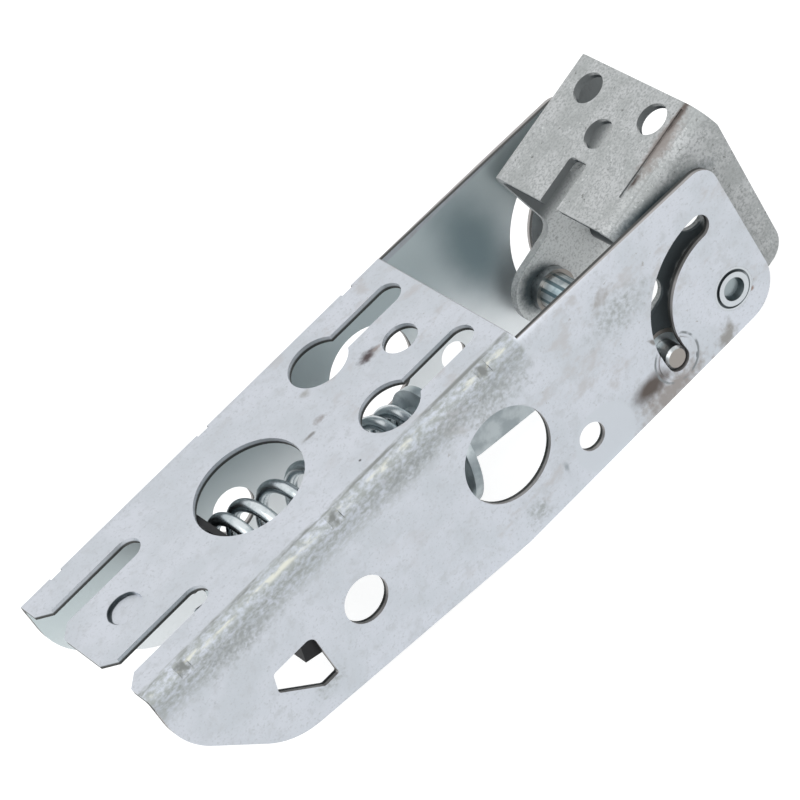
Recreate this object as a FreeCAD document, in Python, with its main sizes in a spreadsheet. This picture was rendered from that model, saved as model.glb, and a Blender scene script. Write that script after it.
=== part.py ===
import FreeCAD, Part
import Sketcher
import math
import os
import re

# Concealed refrigerator door hinge: a folded sheet channel that is screwed to
# the cabinet, a tilted bracket that carries the door, and a sprung guide rod
# that snaps the bracket shut. The origin lies on the pivot axis, midway
# between the walls. +X runs along the channel towards the pivot end, +Y
# points at the far wall and +Z points out of the mounting web.

SIZES = [
    # Folded channel
    ("channel_width", 38.0),
    ("wall_gauge", 1.2),
    ("bend_radius", 2.0),
    ("web_height", 24.16),
    ("web_front", 33.8),
    ("channel_back", 111.9),
    ("wall_drop", 7.3),
    ("wall_top_rear", 23.4),
    ("wall_top_front", 22.3),
    ("nose_reach", 7.0),
    ("lobe_radius", 6.6),
    ("nose_corner_radius", 3.5),
    ("flat_edge_end", 50.0),
    ("rear_edge_x", 98.1),
    ("rear_edge_drop", 2.3),
    ("rear_corner_height", 12.9),
    ("rear_corner_radius", 13.5),
    # Holes in the walls
    ("drain_x", 76.27),
    ("drain_z", 8.1),
    ("drain_dia", 8.0),
    ("sight_x", 45.2),
    ("sight_z", 8.57),
    ("sight_dia", 16.1),
    ("tool_x", 32.36),
    ("tool_drop", 0.95),
    ("tool_dia", 4.85),
    ("latch_front_x", 86.3),
    ("latch_top_x", 94.6),
    ("latch_top_z", 10.6),
    ("latch_low_x", 89.2),
    ("latch_low_z", 1.6),
    ("latch_rear_x", 95.6),
    ("latch_rear_z", 7.2),
    ("latch_corner_radius", 0.7),
    ("arc_start_angle", 89.0),
    ("arc_stop_angle", 188.5),
    ("lip_radius", 3.5),
    ("lip_height", 0.25),
    # Holes in the web
    ("access_dia", 19.1),
    ("key_x", 53.6),
    ("key_spacing", 19.5),
    ("key_dia", 10.5),
    ("key_slot_width", 5.1),
    ("key_slot_end_x", 38.5),
    ("centre_hole_x", 43.4),
    ("centre_hole_dia", 6.1),
    ("fork_spacing", 19.2),
    ("fork_width", 4.8),
    ("fork_end_x", 95.2),
    ("fork_flare", 2.3),
    ("dimple_x", 102.6),
    ("dimple_dia", 6.1),
    ("dimple_depth", 0.5),
    ("gusset_first_x", 104.6),
    ("gusset_pitch", 31.8),
    ("gusset_width", 2.4),
    ("gusset_leg", 1.75),
    # Door bracket, drawn in its own tilted plane
    ("plate_tilt", 13.43),
    ("bracket_side_gap", 2.05),
    ("bracket_gauge", 1.5),
    ("bracket_bend_radius", 3.1),
    ("plate_height", 24.5),
    ("plate_rear", 6.1),
    ("plate_front", 17.65),
    ("flange_front_height", 19.6),
    ("flange_lead", 0.3),
    ("flange_toe", 11.1),
    ("flange_drop", 6.6),
    ("toe_radius", 4.0),
    ("neck_radius", 2.5),
    ("arm_height", 8.3),
    ("boss_radius", 6.3),
    ("boss_foot_radius", 5.0),
    ("cheek_flat", 0.2),
    ("notch_rear", 8.6),
    ("arch_width", 1.75),
    ("notch_front", 5.8),
    ("notch_height", 3.9),
    ("ground_clearance", 0.35),
    ("door_screw_x", 13.15),
    ("door_screw_spacing", 16.34),
    ("door_screw_dia", 5.6),
    ("door_centre_x", 7.35),
    ("door_centre_dia", 5.4),
    ("cable_slot_width", 4.3),
    ("cable_slot_end", 2.34),
    ("flange_hole_x", 5.1),
    ("flange_hole_z", 13.9),
    ("flange_hole_dia", 6.6),
    ("groove_inset", 3.15),
    ("groove_width", 0.7),
    ("groove_depth", 0.3),
    ("groove_end", 16.6),
    # Pivot
    ("rivet_head_dia", 7.3),
    ("rivet_shank_dia", 6.0),
    ("rivet_dish_dia", 3.9),
    ("rivet_dish_floor_dia", 3.1),
    ("rivet_dish_depth", 1.1),
    ("rivet_proud", 0.2),
    ("rivet_ring_dia", 6.5),
    ("rivet_groove_width", 0.35),
    ("rivet_groove_depth", 0.35),
    ("washer_dia", 11.0),
    # Cross pin and what sits on it
    ("lever_radius", 14.0),
    ("pin_rest_angle", 187.6),
    ("pin_dia", 4.0),
    ("pin_proud", 0.1),
    ("pin_chamfer", 0.4),
    ("sleeve_dia", 6.2),
    ("bush_dia", 7.6),
    ("bush_collar", 1.75),
    # Sprung guide rod
    ("rod_tilt", 14.4),
    ("rod_offset", 3.52),
    ("rod_gauge", 3.0),
    ("eye_radius", 4.7),
    ("rod_head_half", 4.8),
    ("rod_tongue_half", 3.7),
    ("rod_tail", 3.0),
    ("tail_step", 1.0),
    ("rod_waist_rise", 2.2),
    ("rod_neck_x", 10.0),
    ("rod_shoulder_x", 28.5),
    ("rod_top_rise", 1.0),
    ("rod_top_x", 12.2),
    ("spring_start", 73.87),
    ("spring_length", 38.6),
    ("spring_dia", 20.0),
    ("wire_dia", 2.2),
    ("spring_phase", -54.0),
    ("cup_dia", 21.0),
    ("cup_gauge", 1.5),
    ("cup_boss_height", 1.2),
    # Spring abutment, a black moulding
    ("abutment_gauge", 1.2),
    ("abutment_top", 9.6),
    ("abutment_drop", 7.1),
    ("cheek_width", 3.2),
    ("cheek_length", 4.6),
    ("hub_length", 2.6),
    ("hub_wall", 1.3),
    ("swing_room_up", 3.2),
    ("swing_room_down", 2.6),
    # Clearances
    ("running_gap", 0.05),
    ("seat_gap", 0.02),
    ("slot_gap", 0.1),
    ("side_gap", 0.1),
    ("cut_margin", 4.0),
]

# Turns of the spring from the abutment to the cup, and how far along its axis
# each one climbs, as shares of the spring's length: it is closer at both ends
SPRING_TURNS = (1, 2, 3, 4, 5, 6, 7, 8, 8.5)
SPRING_CLIMBS = (2.6, 5.2, 6.0, 5.4, 5.0, 4.2, 3.4, 3.2, 1.4)
SAMPLES_PER_TURN = 12

doc = FreeCAD.newDocument("refrigerator_hinge")
sheet = doc.addObject("Spreadsheet::Sheet", "sizes")
for row, (alias, value) in enumerate(SIZES, 1):
    sheet.set(f"A{row}", alias)
    sheet.set(f"B{row}", str(value))
    sheet.setAlias(f"B{row}", alias)
doc.recompute()
ALIASES = {alias for alias, value in SIZES}


def bound(text):
    """Write an expression of plain size names as one that reads the sheet."""
    return re.sub(r"[a-z_]+", lambda m: "sizes." + m[0] if m[0] in ALIASES else m[0], text)


def value_of(text):
    """Evaluate an expression of size names."""
    return float(sheet.evalExpression(bound(text)))


# Places that several pieces share, as expressions of the sizes
WALL_OUT = "channel_width / 2"
WALL_IN = "(channel_width / 2 - wall_gauge)"
FLANGE_OUT = "(channel_width / 2 - wall_gauge - bracket_side_gap)"
FLANGE_IN = "(channel_width / 2 - wall_gauge - bracket_side_gap - bracket_gauge)"
PIN_X = "lever_radius * cos(pin_rest_angle)"
PIN_Z = "lever_radius * sin(pin_rest_angle)"
# The pin centre seen in the bracket's tilted plane
PIN_U = "lever_radius * cos(pin_rest_angle - plate_tilt)"
PIN_W = "lever_radius * sin(pin_rest_angle - plate_tilt)"
LINKED = {}


def new_body(name, x="0", z="0", tilt="0"):
    """Start a body whose frame sits at x, z and is turned about +Y."""
    body = doc.addObject("PartDesign::Body", name)
    body.Label = name
    body.Placement = FreeCAD.Placement(
        FreeCAD.Vector(value_of(x), 0, value_of(z)),
        FreeCAD.Rotation(FreeCAD.Vector(0, 1, 0), value_of(tilt)),
    )
    if x != "0":
        body.setExpression("Placement.Base.x", bound(x))
    if z != "0":
        body.setExpression("Placement.Base.z", bound(z))
    if tilt != "0":
        body.setExpression("Placement.Rotation.Angle", bound(tilt) + " * 1 deg")
    return body


def new_sketch(body, name, plane, offset="0"):
    """Attach a sketch to one of the body's own origin planes."""
    sketch = body.newObject("Sketcher::SketchObject", name)
    origin_plane = next(f for f in body.Origin.OriginFeatures if f.Role == plane)
    sketch.AttachmentSupport = [(origin_plane, "")]
    sketch.MapMode = "FlatFace"
    sketch.AttachmentOffset = FreeCAD.Placement(
        FreeCAD.Vector(0, 0, value_of(offset)), FreeCAD.Rotation()
    )
    if offset != "0":
        sketch.setExpression("AttachmentOffset.Base.z", bound(offset))
    return sketch


def constrain(sketch, kind, *refs, size=None):
    """Add a constraint and, where it has a size, bind it to the sheet."""
    if size is None:
        return sketch.addConstraint(Sketcher.Constraint(kind, *refs))
    index = sketch.addConstraint(Sketcher.Constraint(kind, *refs, value_of(size)))
    sketch.setExpression(f"Constraints[{index}]", bound(size))
    return index


def place(sketch, geo, pos, x, y):
    """Fix a point of the sketch at x, y from the origin."""
    for kind, size in (("DistanceX", x), ("DistanceY", y)):
        if value_of(size) == 0:
            constrain(sketch, "PointOnObject", geo, pos, -2 if kind == "DistanceX" else -1)
        else:
            constrain(sketch, kind, -1, 1, geo, pos, size=size)


def point(x, y):
    return FreeCAD.Vector(x, y, 0)


def circle(sketch, x, y, diameter):
    centre = point(value_of(x), value_of(y))
    ring = Part.Circle(centre, FreeCAD.Vector(0, 0, 1), value_of(diameter) / 2)
    geo = sketch.addGeometry(ring)
    place(sketch, geo, 3, x, y)
    constrain(sketch, "Diameter", geo, size=diameter)


def arc(sketch, cx, cy, radius, start, end):
    """Draw an arc anticlockwise between two angles in degrees."""
    ring = Part.Circle(point(cx, cy), FreeCAD.Vector(0, 0, 1), radius)
    return sketch.addGeometry(Part.ArcOfCircle(ring, math.radians(start), math.radians(end)))


def outline(sketch, corners):
    """Draw a closed outline through corners (x, y) or (x, y, radius)."""
    spots = [point(value_of(c[0]), value_of(c[1])) for c in corners]
    count = len(corners)
    starts, ends, arcs = list(spots), list(spots), {}
    for i, corner in enumerate(corners):
        if len(corner) < 3:
            continue
        radius = value_of(corner[2])
        here, back, ahead = spots[i], spots[i - 1], spots[(i + 1) % count]
        to_back = (back - here).normalize()
        to_ahead = (ahead - here).normalize()
        half = to_back.getAngle(to_ahead) / 2
        reach = radius / math.tan(half)
        ends[i] = here + to_back * reach
        starts[i] = here + to_ahead * reach
        centre = here + (to_back + to_ahead).normalize() * (radius / math.sin(half))
        left = (here - back).cross(ahead - here).z > 0
        first, last = (ends[i], starts[i]) if left else (starts[i], ends[i])
        turn = [math.degrees(math.atan2((p - centre).y, (p - centre).x)) for p in (first, last)]
        if turn[1] < turn[0]:
            turn[1] += 360
        arcs[i] = (centre, radius, turn, left)
    lines = []
    for i in range(count):
        nxt = (i + 1) % count
        lines.append(sketch.addGeometry(Part.LineSegment(starts[i], ends[nxt])))
    for i, corner in enumerate(corners):
        before, after = lines[i - 1], lines[i]
        if i not in arcs:
            constrain(sketch, "Coincident", before, 2, after, 1)
            place(sketch, after, 1, corner[0], corner[1])
            continue
        centre, radius, turn, left = arcs[i]
        geo = arc(sketch, centre.x, centre.y, radius, *turn)
        spot = sketch.addGeometry(Part.Point(spots[i]), True)
        place(sketch, spot, 1, corner[0], corner[1])
        constrain(sketch, "PointOnObject", spot, 1, before)
        constrain(sketch, "PointOnObject", spot, 1, after)
        first, last = (1, 2) if left else (2, 1)
        constrain(sketch, "Tangent", before, 2, geo, first)
        constrain(sketch, "Tangent", geo, last, after, 1)
        constrain(sketch, "Radius", geo, size=corner[2])


def box_outline(sketch, x0, y0, x1, y1):
    outline(sketch, [(x0, y0), (x1, y0), (x1, y1), (x0, y1)])


def obround(sketch, x0, x1, y, width):
    """Draw a slot along X between the centres of its two round ends."""
    a, b, mid, half = value_of(x0), value_of(x1), value_of(y), value_of(width) / 2
    rear = arc(sketch, a, mid, half, 90, 270)
    front = arc(sketch, b, mid, half, -90, 90)
    low = sketch.addGeometry(Part.LineSegment(point(a, mid - half), point(b, mid - half)))
    high = sketch.addGeometry(Part.LineSegment(point(b, mid + half), point(a, mid + half)))
    place(sketch, rear, 3, x0, y)
    place(sketch, front, 3, x1, y)
    constrain(sketch, "Tangent", rear, 2, low, 1)
    constrain(sketch, "Tangent", low, 2, front, 1)
    constrain(sketch, "Tangent", front, 2, high, 1)
    constrain(sketch, "Tangent", high, 2, rear, 1)
    constrain(sketch, "Equal", rear, front)
    constrain(sketch, "Radius", rear, size=f"{width} / 2")


def keyhole(sketch, x0, x1, y, diameter, width):
    """Draw a keyhole: a round hole at x0 with a slot along X to x1."""
    a, b, mid = value_of(x0), value_of(x1), value_of(y)
    radius, half = value_of(diameter) / 2, value_of(width) / 2
    mouth = math.degrees(math.asin(half / radius))
    neck = a + math.sqrt(radius ** 2 - half ** 2)
    hole = arc(sketch, a, mid, radius, mouth, 360 - mouth)
    cap = arc(sketch, b, mid, half, -90, 90)
    low = sketch.addGeometry(Part.LineSegment(point(neck, mid - half), point(b, mid - half)))
    high = sketch.addGeometry(Part.LineSegment(point(b, mid + half), point(neck, mid + half)))
    place(sketch, hole, 3, x0, y)
    place(sketch, cap, 3, x1, y)
    constrain(sketch, "Coincident", hole, 2, low, 1)
    constrain(sketch, "Tangent", low, 2, cap, 1)
    constrain(sketch, "Tangent", cap, 2, high, 1)
    constrain(sketch, "Coincident", high, 2, hole, 1)
    constrain(sketch, "Horizontal", low)
    constrain(sketch, "Horizontal", high)
    constrain(sketch, "Radius", hole, size=f"{diameter} / 2")
    constrain(sketch, "Radius", cap, size=f"{width} / 2")


def arc_slot(sketch, radius, width, start, stop):
    """Draw a slot that follows a circle about the origin."""
    mean, half = value_of(radius), value_of(width) / 2
    a, b = value_of(start), value_of(stop)
    spots = [
        (mean * math.cos(math.radians(t)), mean * math.sin(math.radians(t))) for t in (a, b)
    ]
    outer = arc(sketch, 0, 0, mean + half, a, b)
    inner = arc(sketch, 0, 0, mean - half, a, b)
    first = arc(sketch, spots[0][0], spots[0][1], half, a - 180, a)
    last = arc(sketch, spots[1][0], spots[1][1], half, b, b + 180)
    for geo in (outer, inner):
        constrain(sketch, "Coincident", geo, 3, -1, 1)
    place(sketch, first, 3, f"{radius} * cos({start})", f"{radius} * sin({start})")
    constrain(sketch, "DistanceY", -1, 1, last, 3, size=f"{radius} * sin({stop})")
    constrain(sketch, "Tangent", first, 2, outer, 1)
    constrain(sketch, "Tangent", outer, 2, last, 1)
    constrain(sketch, "Tangent", last, 2, inner, 2)
    constrain(sketch, "Tangent", inner, 1, first, 1)
    constrain(sketch, "Radius", outer, size=f"{radius} + {width} / 2")


def check_sketch(sketch):
    """A sketch has to solve and leave nothing free."""
    if sketch.solve() != 0 or not sketch.FullyConstrained:
        raise RuntimeError(f"{sketch.Name} is not fully constrained")


def pad(body, sketch, name, length, both=False, reverse=False):
    """Raise material from a sketch, on one side or equally on both."""
    check_sketch(sketch)
    feature = body.newObject("PartDesign::Pad", name)
    feature.Profile = sketch
    feature.Length = value_of(length)
    feature.setExpression("Length", bound(length))
    feature.Midplane = both
    feature.Reversed = reverse
    return settle(body, feature, grows=True)


def pocket(body, sketch, name, depth=None):
    """Cut a sketch right through both ways, or to a depth below it."""
    check_sketch(sketch)
    feature = body.newObject("PartDesign::Pocket", name)
    feature.Profile = sketch
    if depth is None:
        feature.Type = "ThroughAll"
        feature.Midplane = True
    else:
        feature.Length = value_of(depth)
        feature.setExpression("Length", bound(depth))
    return settle(body, feature, grows=False)


def settle(body, feature, grows):
    """Build a feature and make sure that it changed the body as meant."""
    before = LINKED.get(body.Name, 0.0)
    doc.recompute()
    after = feature.Shape.Volume
    if (after <= before) if grows else (after >= before):
        raise RuntimeError(f"{body.Label}.{feature.Name} changed nothing: {before} to {after}")
    LINKED[body.Name] = after
    return feature


def turned(name, profile, x="0", z="0"):
    """Revolve a half section of (radius, y) corners about an axis along +Y."""
    body = new_body(name, x, z)
    sketch = new_sketch(body, name + "_section", "XY_Plane")
    outline(sketch, profile)
    feature = body.newObject("PartDesign::Revolution", name + "_turned")
    feature.Profile = sketch
    feature.ReferenceAxis = (sketch, ["V_Axis"])
    feature.Angle = 360
    settle(body, feature, grows=True)
    return body


def ring(name, inner, outer, y0, y1, x="0", z="0"):
    return turned(name, [(inner, y0), (outer, y0), (outer, y1), (inner, y1)], x, z)


def make_housing():
    """Folded channel that carries the pivot at its front end."""
    body = new_body("housing")
    low = "-wall_drop - cut_margin"
    inner_bend = "bend_radius - wall_gauge"
    section = new_sketch(body, "channel_section", "YZ_Plane", "-channel_back")
    outline(section, [
        (f"-{WALL_OUT}", low),
        (f"-{WALL_IN}", low),
        (f"-{WALL_IN}", "web_height - wall_gauge", inner_bend),
        (WALL_IN, "web_height - wall_gauge", inner_bend),
        (WALL_IN, low),
        (WALL_OUT, low),
        (WALL_OUT, "web_height", "bend_radius"),
        (f"-{WALL_OUT}", "web_height", "bend_radius"),
    ])
    pad(body, section, "channel", "channel_back + nose_reach + cut_margin")

    # Coined lip round the slot's lower end, on the outside of each wall. The
    # normal of this plane is -Y, so the near wall lies at a positive offset.
    for side, sign, inward in (("near", "", True), ("far", "-", False)):
        lip = new_sketch(body, f"slot_lip_{side}", "XZ_Plane", f"{sign}({WALL_OUT} + lip_height)")
        circle(lip, PIN_X, PIN_Z, "lip_radius * 2")
        pad(body, lip, f"lip_{side}", "lip_height + wall_gauge / 2", reverse=inward)

    profile = new_sketch(body, "wall_outline", "XZ_Plane")
    box_outline(
        profile,
        "-channel_back - cut_margin", "-wall_drop - 2 * cut_margin",
        "nose_reach + 2 * cut_margin", "web_height + cut_margin",
    )
    outline(profile, [
        ("-channel_back", "web_height + cut_margin / 2"),
        ("-channel_back", "rear_corner_height", "rear_corner_radius"),
        ("-rear_edge_x", "-rear_edge_drop", "rear_corner_radius"),
        ("-flat_edge_end", "-wall_drop"),
        ("nose_reach", "-wall_drop", "lobe_radius"),
        ("nose_reach", "wall_top_front", "nose_corner_radius"),
        ("-web_front", "wall_top_rear"),
        ("-web_front", "web_height + cut_margin / 2"),
    ])
    pocket(body, profile, "wall_blank")

    # Darts pressed into both bends to stiffen them, bulging on the inside
    for i in range(3):
        start = f"-gusset_first_x + {i} * gusset_pitch - gusset_width / 2"
        bulge = new_sketch(body, f"gusset_bulge_{i}", "YZ_Plane", start)
        dent = new_sketch(body, f"gusset_dent_{i}", "YZ_Plane", start + " + gusset_width")
        under = "web_height - wall_gauge"
        for sign in ("", "-"):
            outline(bulge, [
                (f"{sign}({WALL_IN} - gusset_leg)", under),
                (f"{sign}{WALL_IN}", f"{under} - gusset_leg"),
                (f"{sign}({WALL_IN} + wall_gauge / 2)", f"{under} + wall_gauge / 2"),
            ])
            outline(dent, [
                (f"{sign}({WALL_OUT} - gusset_leg)", "web_height"),
                (f"{sign}({WALL_OUT})", "web_height - gusset_leg"),
                (f"{sign}({WALL_OUT} + cut_margin / 4)", "web_height + cut_margin / 4"),
            ])
        pad(body, bulge, f"bulge_{i}", "gusset_width")
        pocket(body, dent, f"dent_{i}", "gusset_width")

    front = new_sketch(body, "web_front_edge", "XY_Plane", "web_height + cut_margin / 4")
    box_outline(
        front, "-web_front", f"-{WALL_IN}", "nose_reach + cut_margin", WALL_IN
    )
    pocket(body, front, "open_front", "cut_margin / 4 + bend_radius")

    holes = new_sketch(body, "wall_holes", "XZ_Plane")
    circle(holes, "-drain_x", "drain_z", "drain_dia")
    circle(holes, "-sight_x", "sight_z", "sight_dia")
    circle(holes, "-tool_x", "-tool_drop", "tool_dia")
    circle(holes, "0", "0", "rivet_head_dia + 2 * seat_gap")
    arc_slot(holes, "lever_radius", "(pin_dia + 2 * slot_gap)", "arc_start_angle", "arc_stop_angle")
    outline(holes, [
        ("-latch_top_x", "latch_top_z", "latch_corner_radius"),
        ("-latch_rear_x", "latch_rear_z", "latch_corner_radius"),
        ("-latch_low_x", "latch_low_z", "latch_corner_radius"),
        ("-latch_front_x", "latch_low_z", "latch_corner_radius / 2"),
        ("-latch_front_x", "latch_top_z", "latch_corner_radius * 2"),
    ])
    pocket(body, holes, "wall_openings")

    web = new_sketch(body, "web_holes", "XY_Plane", "web_height + cut_margin / 4")
    circle(web, "-drain_x", "0", "access_dia")
    circle(web, "-centre_hole_x", "0", "centre_hole_dia")
    for sign in ("", "-"):
        keyhole(
            web, "-key_x", "-key_slot_end_x", f"{sign}key_spacing / 2", "key_dia", "key_slot_width"
        )
        obround(
            web, "-channel_back - cut_margin", "-fork_end_x", f"{sign}fork_spacing / 2", "fork_width"
        )
    pocket(body, web, "web_openings", "cut_margin / 4 + wall_gauge + cut_margin / 8")

    mouths = new_sketch(body, "fork_mouths", "XY_Plane", "web_height + cut_margin / 4")
    for sign in ("", "-"):
        low, high = f"{sign}fork_spacing / 2 - fork_width / 2", f"{sign}fork_spacing / 2 + fork_width / 2"
        outline(mouths, [
            ("-channel_back - cut_margin / 2", f"{low} - fork_flare"),
            ("-channel_back", f"{low} - fork_flare"),
            ("-channel_back + fork_flare", low),
            ("-channel_back + fork_flare", high),
            ("-channel_back", f"{high} + fork_flare"),
            ("-channel_back - cut_margin / 2", f"{high} + fork_flare"),
        ])
    pocket(body, mouths, "fork_flares", "cut_margin / 4 + wall_gauge + cut_margin / 8")

    seat = new_sketch(body, "dimple_boss_sketch", "XY_Plane", "web_height - wall_gauge")
    circle(seat, "-dimple_x", "0", "dimple_dia")
    pad(body, seat, "dimple_boss", "dimple_depth", reverse=True)
    dimple = new_sketch(body, "dimple_sketch", "XY_Plane", "web_height")
    circle(dimple, "-dimple_x", "0", "dimple_dia")
    pocket(body, dimple, "dimple", "dimple_depth")
    return body


def make_bracket():
    """Tilted door bracket: a plate with two flanges that hang on the pivot."""
    body = new_body("door_bracket", tilt="-plate_tilt")
    low = "-flange_drop - cut_margin"
    inner_bend = "bracket_bend_radius - bracket_gauge"
    reach = "(boss_radius + lever_radius + cut_margin)"
    section = new_sketch(body, "bracket_section", "YZ_Plane", f"-{reach}")
    outline(section, [
        (f"-{FLANGE_OUT}", low),
        (f"-{FLANGE_IN}", low),
        (f"-{FLANGE_IN}", "plate_height - bracket_gauge", inner_bend),
        (FLANGE_IN, "plate_height - bracket_gauge", inner_bend),
        (FLANGE_IN, low),
        (FLANGE_OUT, low),
        (FLANGE_OUT, "plate_height", "bracket_bend_radius"),
        (f"-{FLANGE_OUT}", "plate_height", "bracket_bend_radius"),
    ])
    pad(body, section, "bracket_channel", f"{reach} + plate_front + cut_margin")

    # The boss is cut level underneath, just clear of what the hinge lies on
    floor = "(-wall_drop + ground_clearance)"
    boss_low = f"({floor} - (PIN_U - boss_radius) * sin(plate_tilt)) / cos(plate_tilt)"
    boss_low = boss_low.replace("PIN_U", PIN_U)
    arch = "(-notch_rear - arch_width)"
    arch_low = f"({floor} - ({arch}) * sin(plate_tilt)) / cos(plate_tilt)"
    profile = new_sketch(body, "flange_outline", "XZ_Plane")
    box_outline(
        profile,
        f"-{reach} - cut_margin", "-flange_drop - 2 * cut_margin",
        "plate_front + 2 * cut_margin", "plate_height + cut_margin",
    )
    outline(profile, [
        ("-plate_rear", "plate_height + cut_margin / 2"),
        ("-plate_rear", "arm_height", "neck_radius"),
        (f"{PIN_U} - boss_radius", f"{PIN_W} + boss_radius", "boss_radius - cheek_flat"),
        (f"{PIN_U} - boss_radius", boss_low, "boss_foot_radius"),
        (arch, arch_low, "neck_radius / 3"),
        ("-notch_rear", "-notch_height", "neck_radius / 3"),
        ("-notch_front", "-notch_height", "neck_radius / 2"),
        ("-notch_front + flange_drop - notch_height", "-flange_drop", "neck_radius / 2"),
        ("flange_toe", "-flange_drop", "toe_radius"),
        ("plate_front + flange_lead", "flange_front_height", "neck_radius / 2"),
        ("plate_front", "plate_height + cut_margin / 2"),
    ])
    pocket(body, profile, "flange_blank")

    holes = new_sketch(body, "flange_holes", "XZ_Plane")
    circle(holes, "0", "0", "rivet_shank_dia + 2 * running_gap")
    circle(holes, PIN_U, PIN_W, "bush_dia + 2 * seat_gap")
    circle(holes, "flange_hole_x", "flange_hole_z", "flange_hole_dia")
    pocket(body, holes, "flange_openings")

    plate = new_sketch(body, "plate_holes", "XY_Plane", "plate_height + cut_margin / 4")
    for sign in ("", "-"):
        circle(plate, "door_screw_x", f"{sign}door_screw_spacing / 2", "door_screw_dia")
    circle(plate, "door_centre_x", "0", "door_centre_dia")
    half = "cable_slot_width / 2"
    outline(plate, [
        ("-plate_rear - cut_margin", f"-{half}"),
        ("cable_slot_end", f"-{half}", "cable_slot_width / 5"),
        ("cable_slot_end", half, "cable_slot_width / 5"),
        ("-plate_rear - cut_margin", half),
    ])
    pocket(body, plate, "plate_openings", "cut_margin / 4 + bracket_gauge + cut_margin / 8")

    score = new_sketch(body, "score_line", "XY_Plane", "plate_height + cut_margin / 4")
    box_outline(
        score, "0", f"-{FLANGE_OUT} + groove_inset - groove_width / 2",
        "groove_end", f"-{FLANGE_OUT} + groove_inset + groove_width / 2",
    )
    pocket(body, score, "score", "cut_margin / 4 + groove_depth")
    return body


def make_pivot():
    """Pivot rivet through both walls, and the washers that centre it."""
    tip = f"({WALL_OUT} + rivet_proud)"
    shoulder = f"({WALL_IN} - side_gap)"
    dish, floor = "rivet_dish_dia / 2", "rivet_dish_floor_dia / 2"
    groove_in, groove_out = "rivet_ring_dia / 2 - rivet_groove_width", "rivet_ring_dia / 2"
    shank, head = "rivet_shank_dia / 2", "rivet_head_dia / 2"
    # Half of the section, from the middle of the dish out to the shank
    half = [
        ("0", f"{tip} - rivet_dish_depth"),
        (floor, f"{tip} - rivet_dish_depth"),
        (dish, tip),
        (groove_in, tip),
        (groove_in, f"{tip} - rivet_groove_depth"),
        (groove_out, f"{tip} - rivet_groove_depth"),
        (groove_out, f"{tip} - rivet_proud"),
        (head, f"{tip} - rivet_proud"),
        (head, shoulder),
        (shank, shoulder),
    ]
    turned("pivot_rivet", [(r, f"-({y})") for r, y in half] + half[::-1])
    inside = f"{FLANGE_OUT} + running_gap"
    outside = f"{WALL_IN} - side_gap - seat_gap"
    bore = "rivet_shank_dia / 2 + seat_gap"
    ring("pivot_washer_far", bore, "washer_dia / 2", inside, outside)
    ring("pivot_washer_near", bore, "washer_dia / 2", f"-({outside})", f"-({inside})")


def make_cross_pin():
    """Pin that links the rod to the bracket and rides in the arc slots."""
    end = f"({WALL_OUT} + pin_proud)"
    radius = "pin_dia / 2"
    turned("cross_pin", [
        ("0", f"-{end}"),
        (f"{radius} - pin_chamfer", f"-{end}"),
        (radius, f"-{end} + pin_chamfer"),
        (radius, f"{end} - pin_chamfer"),
        (f"{radius} - pin_chamfer", end),
        ("0", end),
    ], PIN_X, PIN_Z)
    bore = f"{radius} + seat_gap"
    inner, outer = "rod_gauge / 2 + side_gap", FLANGE_OUT
    eye = "sleeve_dia / 2 + seat_gap"
    rim = "bush_dia / 2"
    far = {"sleeve": (inner, outer), "bush": (f"{FLANGE_IN} - bush_collar", outer)}
    for side, sign in (("far", ""), ("near", "-")):
        spans = {k: v if sign == "" else tuple(f"-({s})" for s in v[::-1]) for k, v in far.items()}
        ring(f"pin_sleeve_{side}", bore, "sleeve_dia / 2", *spans["sleeve"], PIN_X, PIN_Z)
        ring(f"eye_bush_{side}", eye, rim, *spans["bush"], PIN_X, PIN_Z)


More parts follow.
